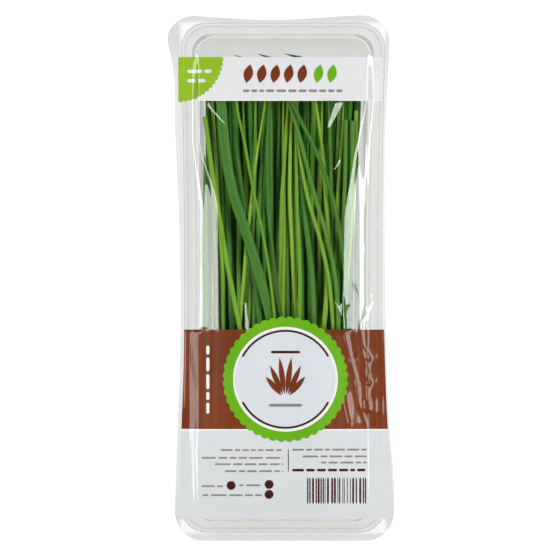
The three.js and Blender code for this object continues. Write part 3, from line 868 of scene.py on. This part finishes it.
def film_grid():
    """Where the grid's rows and columns run: rows up the tray, columns as shares of the film's
    half width."""
    print_rows = [*TOP_PANEL, *BROWN_BAND, *INFO_PANEL, *TOP_EDGE_HIGHLIGHT, *INFO_EDGE_LINE]
    rows = [np.linspace(*stretch)[:-1] for stretch in FILM_ROWS]
    rows += [[FILM_HALF_LENGTH], print_rows, [ABOVE_BAND], CORNER_ROWS, -CORNER_ROWS]
    middle = np.linspace(0, 0.5, MIDDLE_COLUMNS)[1:-1]
    half = np.concatenate([middle, np.linspace(0.5, 1, SIDE_COLUMNS)])
    print_columns = [-PRINT_SIDE, TOP_PRINT_RIGHT, LOW_PRINT_RIGHT]
    columns = np.concatenate([-half[::-1], [0], half, print_columns])
    rows = np.unique(np.round(np.concatenate(rows), 2))
    return rows, np.unique(np.round(columns, 4))


def film_patch(bottom, top, left, right, above):
    """The film's grid between two rows and two columns."""
    rows, columns = film_grid()
    rows = rows[(rows >= bottom) & (rows <= top)]
    columns = columns[(columns >= left) & (columns <= right)]
    left_edge, right_edge = film_halves(rows)
    x = np.where(columns < 0, columns * left_edge[:, None], columns * right_edge[:, None])
    y = rows[:, None] + 0 * x
    hollow = np.exp(-(((x - TOP_HOLLOW_MIDDLE) / TOP_HOLLOW_HALF) ** 2))
    y = y - TOP_HOLLOW * hollow * soft_step((y - TOP_HOLLOW_START) / TOP_HOLLOW_RUN)
    return on_film(x, y, above)


def film_overhang_shade(x, y):
    """No grey where the film lies on the rim, and painted shade outside it, grey that darkens what
    shows through, most at the tray's ends.
    """
    waist = RIM_WAIST * (1 - (y / RIM_HALF_LENGTH) ** 2)
    past_side = (np.abs(x) - RIM_HALF_WIDTH + waist) / SHADE_EDGE
    past_end = (np.abs(y) - RIM_HALF_LENGTH) / SHADE_EDGE
    end_share = soft_step((np.abs(y) - END_SHADE_START) / END_SHADE_RUN)
    outside = FLANGE_SHADE + (END_FLANGE_SHADE - FLANGE_SHADE) * end_share
    return outside * soft_step(np.maximum(past_side, past_end) + 0.5)


def make_film():
    plastic = clear_plastic("film", FILM_CLEAR, face_gloss=0.043, haze_and_shade=0.07, rough=0.06)
    whole = film_patch(-FILM_HALF_LENGTH, FILM_HALF_LENGTH, -1, 1, 0)
    points, faces = closed_sheet(whole, FILM_SHEET)
    film = add_piece("clear_film", points, faces, plastic, "film", ["lid_film"])
    add_layer(film, "haze_and_shade", film_overhang_shade(points[:, 0], points[:, 1]))


make_film()


# Print. Ink on the film, under a clear varnish: a white panel with a scalloped mark at its corner,
# a brown band, a second white panel below it, and a scalloped seal over the band. It is printed
# before the film is sealed on the tray.

INK_SHEET = 0.03
PRINT_LIFT = 0.06
PANEL_LEVEL = 1
MARK_LEVEL = 2
PEEL_LEVEL = 2.5
PEEL_MARK_LEVEL = 4
SEAL_LEVEL = 3
SEAL_FACE_LEVEL = 4
SEAL_MARK_LEVEL = 5
SEAL_CENTRE = (1.2, -49.8)
SEAL_RADIUS = 30.8
SEAL_FACE_RADIUS = 25.3
SEAL_OVERLAP = 1
SEAL_FACE_GRID = 60
SEAL_FACE_LEAN = 88
RING_ROWS = 12
SEAL_BORDER = (24.6, 25.65)
SEAL_ARC = (23.2, 24.2)
SEAL_ARC_HALF = 62
SEAL_ARC_STEPS = 90
SCALLOPS = 44
SCALLOP_DEPTH = 1
SCALLOP_STEPS = 8
PEEL_RADIUS = 22.2
PEEL_SCALLOPS = 56
PEEL_SCALLOP_DEPTH = 0.7
PEEL_TOP = 108
PEEL_MIDDLE = 97
PEEL_HOLE = 0.05
PEEL_STEPS = 150
PEEL_ROWS = 60


def ink(name, color, cloudy, coat=0.9):
    """Ink under varnish: slightly uneven cover, with a faint orange-peel gloss."""
    surface = Surface(name)
    place = surface.node("TexCoord", output="Object")
    cloud = surface.noise(place, scale=45, detail=3)
    fine = surface.noise(place, scale=900, detail=2)
    share = surface.clamp(cloud * 0.8 + fine * 0.2, low=0.3, high=0.7)
    finish = {"Base Color": surface.blend(share, color, cloudy)}
    finish["Roughness"] = 0.25 + cloud * 0.1
    finish["Coat Weight"] = coat
    finish["Coat Roughness"] = 0.07
    finish["Specular IOR Level"] = 0.15
    finish["Normal"] = surface.bump(fine, strength=0.05, distance=0.0001)
    return surface.done(surface.node("BsdfPrincipled", {}, finish))


WHITE_INK = ink("white_print", (0.81, 0.82, 0.83, 1), (0.78, 0.79, 0.8, 1))
FACE_INK = ink("seal_face_print", (0.72, 0.755, 0.79, 1), (0.69, 0.73, 0.77, 1))
INFO_INK = ink("info_print", (0.72, 0.745, 0.755, 1), (0.685, 0.715, 0.725, 1))
# Pale ink: print on the seal's border and the side strokes, and a painted highlight on the top
# panel's bottom edge.
PALE_PRINT_AND_HIGHLIGHT_INK = ink("pale_print_and_edge_highlight", (0.93, 0.92, 0.88, 1), (0.9, 0.9, 0.86, 1))
BROWN_INK = ink("brown_print", (0.215, 0.047, 0.01, 1), (0.165, 0.033, 0.008, 1), coat=0.65)
LINE_INK = ink("line_print", (0.07, 0.012, 0.01, 1), (0.055, 0.01, 0.008, 1))
GREY_INK = ink("small_print", (0.3, 0.27, 0.27, 1), (0.25, 0.22, 0.22, 1))
SEAL_INK = ink("seal_print", (0.165, 0.47, 0.01, 1), (0.13, 0.42, 0.008, 1))
PEEL_INK = ink("peel_print", (0.31, 0.53, 0.022, 1), (0.28, 0.5, 0.02, 1))


def add_panel(name, rows, right, material, slot, replaced, level=PANEL_LEVEL):
    """A printed panel between two rows of the film, from the left edge of the print to right."""
    patch = film_patch(*rows, -PRINT_SIDE, right, level * PRINT_LIFT)
    add_piece(name, *closed_sheet(patch, INK_SHEET), material, slot, replaced)


def add_printed(name, x, y, material, slot, replaced, level, wrap=False):
    """A thin sheet of ink on the film over a grid of places."""
    points, faces = closed_sheet(on_film(x, y, level * PRINT_LIFT), INK_SHEET, wrap=wrap)
    add_piece(name, points, faces, material, slot, replaced)


def scalloped(radius, turns, count, depth):
    """The reach of a scalloped edge at each turn."""
    return radius - depth * (1 - np.abs(np.sin(turns * count / 2)))


def ring_grid(inner, outer, turns):
    """Places on a flat ring, or part of one, round the seal's centre."""
    share = np.linspace(0, 1, RING_ROWS)[::-1, None]
    radius = inner + share * (outer - inner)
    return SEAL_CENTRE[0] + radius * np.cos(turns), SEAL_CENTRE[1] + radius * np.sin(turns)


def face_grid():
    """Places on the seal's round face, in rows that are as wide as the circle there."""
    lean = np.linspace(-SEAL_FACE_LEAN, SEAL_FACE_LEAN, SEAL_FACE_GRID)
    lean = np.radians(lean)[:, None]
    across = np.linspace(-1, 1, SEAL_FACE_GRID)
    x = SEAL_CENTRE[0] + SEAL_FACE_RADIUS * np.cos(lean) * across
    return x, SEAL_CENTRE[1] + SEAL_FACE_RADIUS * np.sin(lean) + 0 * across


def add_seal():
    turns = np.linspace(0, 2 * math.pi, SCALLOPS * SCALLOP_STEPS, endpoint=False)
    outer = scalloped(SEAL_RADIUS, turns, SCALLOPS, SCALLOP_DEPTH)
    edge = ring_grid(SEAL_FACE_RADIUS - SEAL_OVERLAP, outer, turns)
    add_printed("seal_edge", *edge, SEAL_INK, "seal_print", ["seal_ring"], SEAL_LEVEL, True)
    add_printed("seal_middle", *face_grid(), FACE_INK, "white_print", ["seal_face"], SEAL_FACE_LEVEL)
    border = ring_grid(*SEAL_BORDER, turns)
    add_printed("seal_border", *border, PALE_PRINT_AND_HIGHLIGHT_INK, "white_print", [], SEAL_MARK_LEVEL, True)
    for number, middle in enumerate((90, 270)):
        turns = np.linspace(middle - SEAL_ARC_HALF, middle + SEAL_ARC_HALF, SEAL_ARC_STEPS)
        arc = ring_grid(*SEAL_ARC, np.radians(turns))
        add_printed(f"seal_arc_{number + 1}", *arc, LINE_INK, "brown_print", [], SEAL_MARK_LEVEL)


def add_peel_mark():
    turns = np.linspace(0, math.pi / 2, PEEL_STEPS)
    left_edge = film_halves(np.array([PEEL_MIDDLE], float))[0][0] * PRINT_SIDE
    reach = scalloped(PEEL_RADIUS, turns, PEEL_SCALLOPS, PEEL_SCALLOP_DEPTH)
    radius = PEEL_HOLE + np.linspace(0, 1, PEEL_ROWS)[:, None] * (reach - PEEL_HOLE)
    x = -left_edge + radius * np.cos(turns)
    y = PEEL_TOP - radius * np.sin(turns)
    add_printed("peel_corner", x, y, PEEL_INK, "peel_print", ["peel_mark"], PEEL_LEVEL)


add_panel("top_white", TOP_PANEL, TOP_PRINT_RIGHT, WHITE_INK, "white_print", ["top_panel"])
# Painted highlight: a strip of yellowish white ink along the bottom edge of the top panel.
add_panel("top_edge_painted_highlight", TOP_EDGE_HIGHLIGHT, TOP_PRINT_RIGHT, PALE_PRINT_AND_HIGHLIGHT_INK, "white_print", [], MARK_LEVEL)
bands = ["brown_band_left", "brown_band_right"]
add_panel("brown_cover", BROWN_BAND, LOW_PRINT_RIGHT, BROWN_INK, "brown_print", bands)
add_panel("info_white", INFO_PANEL, LOW_PRINT_RIGHT, INFO_INK, "white_print", ["info_panel"])
add_panel("info_white_edge", INFO_EDGE_LINE, LOW_PRINT_RIGHT, PALE_PRINT_AND_HIGHLIGHT_INK, "white_print", [], MARK_LEVEL)
add_seal()
add_peel_mark()


# Marks. Plain shapes on the panels and the seal: leaf shapes, a fan of blades, dots, bars and
# broken lines. They are of the same inks as the panels and lie a thin layer above them.

STROKE_STEPS = 15
STROKE_ROWS = 5
STROKE_GAP = 0.9
STROKE_LENGTHS = (3, 6)
LEAF_MARK = {"length": 9.2, "width": 4.6, "turn": 78, "taper": 1}
LEAF_MARK_STEP = 6.6
LEAF_MARK_Y = 99.8
BROWN_LEAVES = (-17, 5)
GREEN_LEAVES = (17.4, 2)
BAND_LINE = [(-20, 29.5, 91.4)]
PEEL_LINES = [(-47.5, -34.5, 101), (-47.5, -37, 96.4)]
BLADES = ((50, 12), (66, 15.5), (82, 18), (98, 18), (114, 15.5), (130, 12))
BLADE_WIDTH = 2.7
BLADE_START = 3
FAN_FOOT = -60
SEAL_LINES = (("seal_line", -62.5, 17, 1.5, GREY_INK), ("seal_top_line", -36.5, 15, 1.3, LINE_INK))
SMALL_LINES = [
    (4, 41.5, -84.3),
    (9, 41.5, -87.6),
    (18, 41.5, -90.6),
    (-31, 0.6, -84.5),
    (-40.5, 0.6, -88.3),
    (-34, 0.6, -91.4),
    (-29, 0.6, -94.8),
    (-40.5, -28.5, -102.2),
    (-22, -9.8, -101.7),
    (-40, -9.8, -106.6),
]
BOLD_LINE = [(4, 41.5, -94.3)]
DOT = 4.4
DOTS = ((-25.4, -101.8), (-6.8, -101.3), (-6.8, -106.2))
DIVIDER = {"middle": (2.6, -89.5), "length": 11.8, "width": 0.4, "turn": 90}
BAR_SIDES = (11.8, 42)
BAR_ENDS = (-111, -97.8)
BAR_WIDTHS = (0.35, 0.3)
BAR_GAPS = (0.4, 0.35)
SIDE_X = -36.8
SIDE_STROKES = ((-35.5, 4.5), (-42.5, 7), (-51, 7.5), (-58, 4), (-64, 5.5))


def stroke(middle, length, width, turn=0, taper=0):
    """A short printed stroke as a grid: a bar with round ends, or a leaf shape if taper is 1."""
    along = np.linspace(-1, 1, STROKE_STEPS)
    past = (np.abs(along) * length / 2 - length / 2 + width / 2) / (width / 2)
    bar = np.sqrt(np.clip(1 - np.clip(past, 0, 1) ** 2, 0.01, 1))
    leaf = np.clip(1 - along**2, 0.02, 1)
    half = width / 2 * (bar * (1 - taper) + leaf * taper)
    across = np.linspace(1, -1, STROKE_ROWS)[:, None] * half
    run = along * length / 2 + 0 * across
    turn = math.radians(turn)
    x = middle[0] + run * math.cos(turn) - across * math.sin(turn)
    y = middle[1] + run * math.sin(turn) + across * math.cos(turn)
    return x, y


def add_strokes(name, strokes, material, slot, level=MARK_LEVEL):
    sheets = [closed_sheet(on_film(x, y, level * PRINT_LIFT), INK_SHEET) for x, y in strokes]
    add_piece(name, *join_meshes(sheets), material, slot, [])


def broken_lines(rows, height, kind):
    """Strokes of uneven length, in rows of left end, right end and place."""
    shortest, spread = STROKE_LENGTHS
    strokes = []
    for row, (left, right, y) in enumerate(rows):
        x = left
        while x < right - 1:
            length = min(shortest + spread * draw(row + 10 * round(x), kind), right - x)
            strokes.append(stroke((x + length / 2, y), length - STROKE_GAP, height))
            x += length
    return strokes


def leaf_row(start, count):
    places = [start + LEAF_MARK_STEP * i for i in range(count)]
    return [stroke((x, LEAF_MARK_Y), **LEAF_MARK) for x in places]


def fan():
    """Blades that spread upwards from one foot in the middle of the seal."""
    blades = []
    for lean, length in BLADES:
        reach = BLADE_START + length / 2
        x = SEAL_CENTRE[0] + math.cos(math.radians(lean)) * reach
        y = FAN_FOOT + math.sin(math.radians(lean)) * reach
        blades.append(stroke((x, y), length, BLADE_WIDTH, lean, taper=1))
    return blades


def bars():
    """Upright bars of uneven width and spacing."""
    left, right = BAR_SIDES
    bottom, top = BAR_ENDS
    middle = (bottom + top) / 2
    strokes = []
    x, number = left, 0
    while x < right - 1:
        width = BAR_WIDTHS[0] + BAR_WIDTHS[1] * math.floor(3 * draw(number, 51))
        strokes.append(stroke((x + width / 2, middle), top - bottom, width, 90))
        x += width + BAR_GAPS[0] + BAR_GAPS[1] * math.floor(3 * draw(number, 52))
        number += 1
    return strokes


def add_marks():
    add_strokes("band_leaves", leaf_row(*BROWN_LEAVES), BROWN_INK, "brown_print")
    add_strokes("band_green_leaves", leaf_row(*GREEN_LEAVES), SEAL_INK, "seal_print")
    add_strokes("band_line", broken_lines(BAND_LINE, height=1.3, kind=53), GREY_INK, "brown_print")
    peel = broken_lines(PEEL_LINES, height=1.7, kind=54)
    add_strokes("peel_lines", peel, WHITE_INK, "white_print", PEEL_MARK_LEVEL)
    add_strokes("seal_blades", fan(), BROWN_INK, "brown_print", SEAL_MARK_LEVEL)
    for name, y, length, width, material in SEAL_LINES:
        line = stroke((SEAL_CENTRE[0], y), length, width)
        add_strokes(name, [line], material, "brown_print", SEAL_MARK_LEVEL)
    small = broken_lines(SMALL_LINES, height=0.9, kind=55)
    add_strokes("small_print", small, GREY_INK, "brown_print")
    bold = broken_lines(BOLD_LINE, height=1.3, kind=56)
    bold += [stroke(place, DOT, DOT) for place in DOTS]
    bold.append(stroke(**DIVIDER))
    add_strokes("bold_print", bold, LINE_INK, "brown_print")
    add_strokes("code_bars", bars(), LINE_INK, "brown_print")
    side = [stroke((SIDE_X, y), length, width=1.5, turn=90) for y, length in SIDE_STROKES]
    add_strokes("side_strokes", side, PALE_PRINT_AND_HIGHLIGHT_INK, "white_print")


add_marks()


# Floor, light and camera. A white table that glows a little, two tall softboxes with a strip light
# inside each, and dim air around, seen from straight above through a long lens.

PHOTO_SIDE = 554
PHOTO_PIXEL = 0.49
PHOTO_MIDDLE = (-2.94, 0.25)
CAMERA_HEIGHT = 3000
SENSOR = 36
FLOOR_HALF = 3
FLOOR_DROP = 0.0002
LIGHT_DISTANCE = 1.1
LIGHT_LENGTH = 1.1
SOFTBOX_LEAN = 37
SOFTBOX_WIDTH = 0.42
STRIP_LEAN = 23.5
STRIP_WIDTH = 0.09
SIDE_LIGHTS = (("left", 180, 5.6, 7), ("right", 0, 6.6, 8))
AIR_LIGHT = 0.03


def make_floor():
    mesh = bpy.data.meshes.new("floor")
    side = FLOOR_HALF
    corners = [(-side, -side, 0), (side, -side, 0), (side, side, 0), (-side, side, 0)]
    mesh.from_pydata(corners, [], [(0, 1, 2, 3)])
    floor = bpy.data.objects.new("floor", mesh)
    floor.location.z = -FLOOR_DROP
    bpy.context.scene.collection.objects.link(floor)
    surface = Surface("floor")
    finish = {"Base Color": (0.3, 0.3, 0.3, 1), "Roughness": 0.9}
    finish["Emission Color"] = (1, 1, 1, 1)
    finish["Emission Strength"] = 0.85
    mesh.materials.append(surface.done(surface.node("BsdfPrincipled", {}, finish)))


def add_light(name, azimuth, lean, width, radiance):
    light = bpy.data.lights.new(name, "AREA")
    light.shape = "RECTANGLE"
    light.size = width
    light.size_y = LIGHT_LENGTH
    light.energy = radiance * math.pi * width * LIGHT_LENGTH
    lamp = bpy.data.objects.new(name, light)
    lean = math.radians(lean)
    azimuth = math.radians(azimuth)
    side = math.sin(lean) * LIGHT_DISTANCE
    height = math.cos(lean) * LIGHT_DISTANCE
    lamp.location = (side * math.cos(azimuth), side * math.sin(azimuth), height)
    lamp.rotation_euler = (0, lean, azimuth)
    bpy.context.scene.collection.objects.link(lamp)
    return lamp


def make_light():
    for side, azimuth, softbox, strip in SIDE_LIGHTS:
        add_light(side + "_softbox", azimuth, SOFTBOX_LEAN, SOFTBOX_WIDTH, softbox)
        only_gloss = add_light(side + "_strip_light", azimuth, STRIP_LEAN, STRIP_WIDTH, strip)
        only_gloss.visible_diffuse = False
    world = bpy.data.worlds.new("studio")
    world.use_nodes = True
    air = world.node_tree.nodes["Background"]
    air.inputs["Color"].default_value = (1, 1, 1, 1)
    air.inputs["Strength"].default_value = AIR_LIGHT
    bpy.context.scene.world = world


def make_camera():
    camera = bpy.data.cameras.new("camera")
    camera.sensor_width = SENSOR
    camera.lens = SENSOR * (CAMERA_HEIGHT - RIM_TOP) / (PHOTO_SIDE * PHOTO_PIXEL)
    eye = bpy.data.objects.new("camera", camera)
    eye.location = (PHOTO_MIDDLE[0] * MM, PHOTO_MIDDLE[1] * MM, CAMERA_HEIGHT * MM)
    bpy.context.scene.collection.objects.link(eye)
    bpy.context.scene.camera = eye


make_floor()
make_light()
make_camera()
bpy.context.scene.view_settings.view_transform = "Standard"
bpy.context.scene.cycles.transparent_max_bounces = 32
